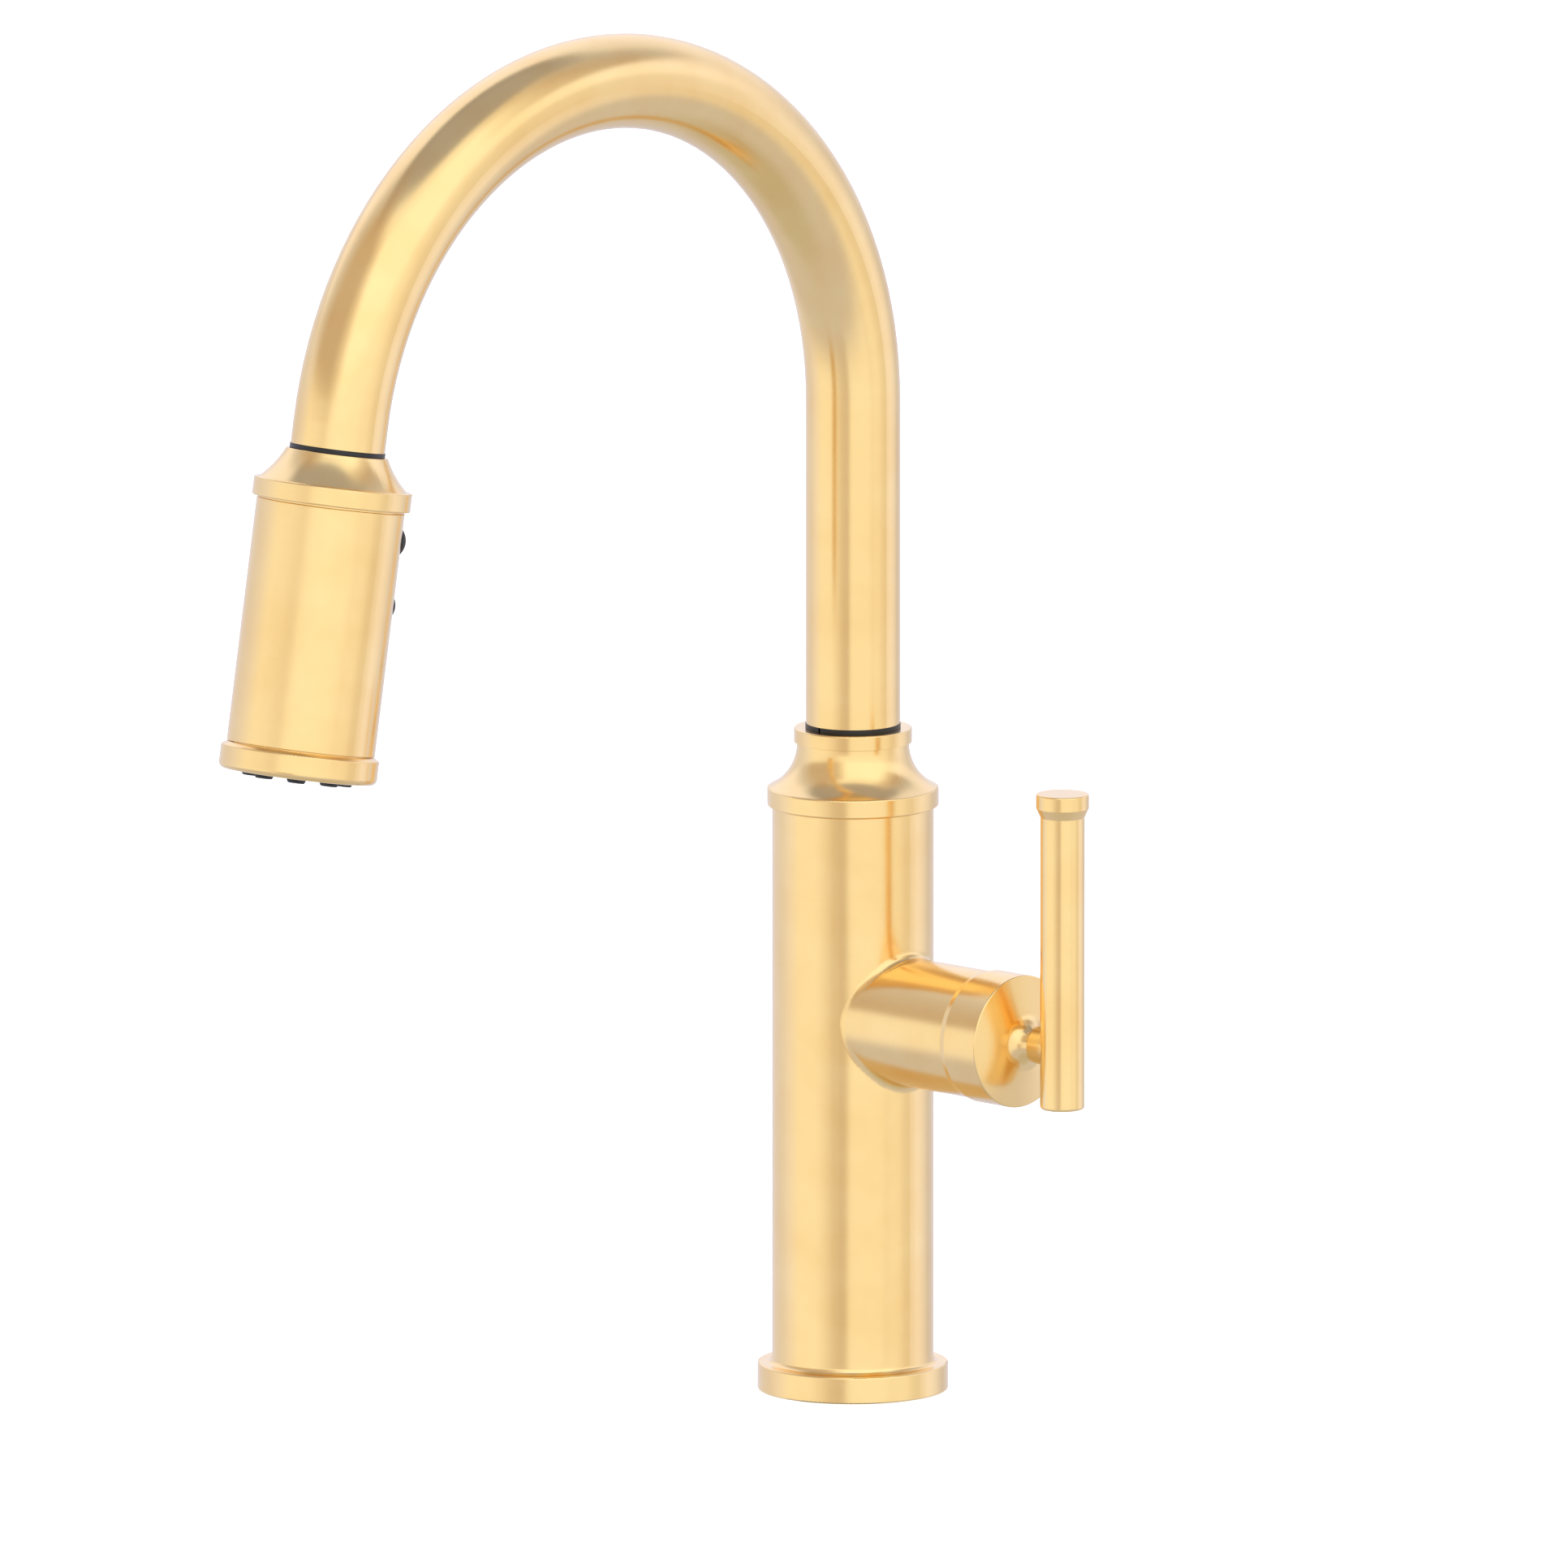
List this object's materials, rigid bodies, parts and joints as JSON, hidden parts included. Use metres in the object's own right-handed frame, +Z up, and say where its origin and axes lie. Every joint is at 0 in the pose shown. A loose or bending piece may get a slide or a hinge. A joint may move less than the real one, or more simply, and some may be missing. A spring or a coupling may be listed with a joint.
{
  "type": "pull-down kitchen faucet",
  "caption": "Brushed gold single-handle kitchen faucet: tall arched swivel spout, cylindrical pull-down spray head with two buttons, side lever on a round hub.",
  "frame": {"origin": "on the faucet's upright axis, at the level of the deck it stands on", "axes": "+Z up; the spout reaches over the sink towards -Y; the handle is on the +X side"},
  "size_m": [0.1263, 0.2885, 0.5542],
  "materials": {
    "brushed_gold": "brushed satin gold",
    "cast_brass": "machined brass",
    "zinc_plated_steel": "zinc plated",
    "stainless_steel": "plain turned stainless steel",
    "copper_tube": "drawn copper",
    "magnet": "nickel plated ring magnet",
    "ceramic": "lapped ceramic",
    "grey_plastic": "moulded acetal",
    "dark_plastic": "moulded dark grey plastic",
    "black_plastic": "moulded black acetal",
    "black_rubber": "moulded black silicone rubber",
    "braided_nylon": "braided nylon hose"
  },
  "bodies": {
    "root": {"base_flange": "brushed_gold", "base_gasket": "black_rubber", "body_shell": "brushed_gold", "shoulder_cap": "brushed_gold", "valve_block": "cast_brass", "mounting_shank": "zinc_plated_steel", "deck_washer": "black_rubber", "steel_washer": "zinc_plated_steel", "mounting_nut": "cast_brass", "clamp_screws": "zinc_plated_steel", "hot_inlet_tube": "copper_tube", "cold_inlet_tube": "copper_tube", "outlet_tube": "copper_tube", "cartridge_sleeve": "cast_brass", "cartridge_housing": "grey_plastic", "port_seals": "black_rubber", "fixed_disc": "ceramic", "cartridge_nut": "cast_brass", "hub_bonnet": "brushed_gold"},
    "mixing_carrier": {"spindle_carrier": "grey_plastic", "tilt_pin": "stainless_steel"},
    "mixing_disc": {"moving_disc": "ceramic", "disc_driver": "grey_plastic"},
    "handle": {"cartridge_stem": "stainless_steel", "lever_cap": "brushed_gold", "handle_set_screw": "stainless_steel", "lever_neck": "brushed_gold", "lever_bar": "brushed_gold", "lever_knob": "brushed_gold"},
    "spout": {"spout_tube": "brushed_gold", "spout_spigot": "cast_brass", "swivel_ring": "black_plastic", "lower_bearing": "black_plastic", "friction_ring": "black_rubber", "retaining_clip": "stainless_steel", "dock_bushing": "black_plastic", "dock_magnet": "magnet", "spray_hose": "braided_nylon", "hose_coupling": "cast_brass"},
    "hose_end": {"hose_tail": "cast_brass", "hose_ferrule": "stainless_steel"},
    "spray_head": {"head_inlet": "grey_plastic", "tail_seal": "black_rubber", "head_magnet_ring": "stainless_steel", "wand_collar": "brushed_gold", "wand_shell": "brushed_gold", "wand_bezel": "brushed_gold", "waterway_core": "grey_plastic", "diffuser_plate": "grey_plastic", "spray_face": "dark_plastic", "spray_nozzles": "black_rubber", "aerator": "black_plastic"},
    "selector_rocker": {"selector_rocker": "grey_plastic"},
    "spray_button": {"spray_button": "black_rubber"},
    "stream_button": {"stream_button": "black_rubber"}
  },
  "joints": [
    {"name": "handle_temperature", "type": "hinge", "parent": "root", "child": "mixing_carrier", "pos_m": [0.045, 0, 0.1157], "axis": [1, 0, 0], "range_deg": [-45, 45]},
    {"name": "handle_flow", "type": "hinge", "parent": "mixing_carrier", "child": "handle", "pos_m": [0.045, 0, 0.1157], "axis": [0, 1, 0], "range_deg": [0, 22]},
    {"name": "disc_shift", "type": "slide", "parent": "mixing_carrier", "child": "mixing_disc", "axis": [0, 0, 1], "range_m": [0, 0.00346]},
    {"name": "spout_swivel", "type": "hinge", "parent": "root", "child": "spout", "pos_m": [0, 0, 0.2034], "axis": [0, 0, 1], "continuous": true},
    {"name": "head_pull", "type": "slide", "parent": "spout", "child": "hose_end", "axis": [0, -0.1736, -0.9848], "range_m": [0, 0.4], "stiffness_N_per_m": 4, "springref_m": -1.9, "deforming": ["spray_hose"]},
    {"name": "head_swivel", "type": "hinge", "parent": "hose_end", "child": "spray_head", "pos_m": [0, -0.21907, 0.31567], "axis": [0, -0.1736, -0.9848], "continuous": true},
    {"name": "spray_press", "type": "slide", "parent": "spray_head", "child": "spray_button", "axis": [0.5878, 0.7967, -0.1405], "range_m": [-0.00075, 0]},
    {"name": "stream_press", "type": "slide", "parent": "spray_head", "child": "stream_button", "axis": [0.5878, 0.7967, -0.1405], "range_m": [0, 0.00075]},
    {"name": "rocker_tilt", "type": "hinge", "parent": "spray_head", "child": "selector_rocker", "pos_m": [0.00943, -0.2125, 0.27816], "axis": [-0.809, 0.5789, -0.1021], "range_deg": [-4.4, 0]}
  ],
  "couplings": [
    {"joint": "disc_shift", "follows": "handle_flow", "m_per_rad": 0.009},
    {"joint": "stream_press", "follows": "spray_press", "ratio": -1},
    {"joint": "rocker_tilt", "follows": "spray_press", "rad_per_m": 102.04}
  ]
}
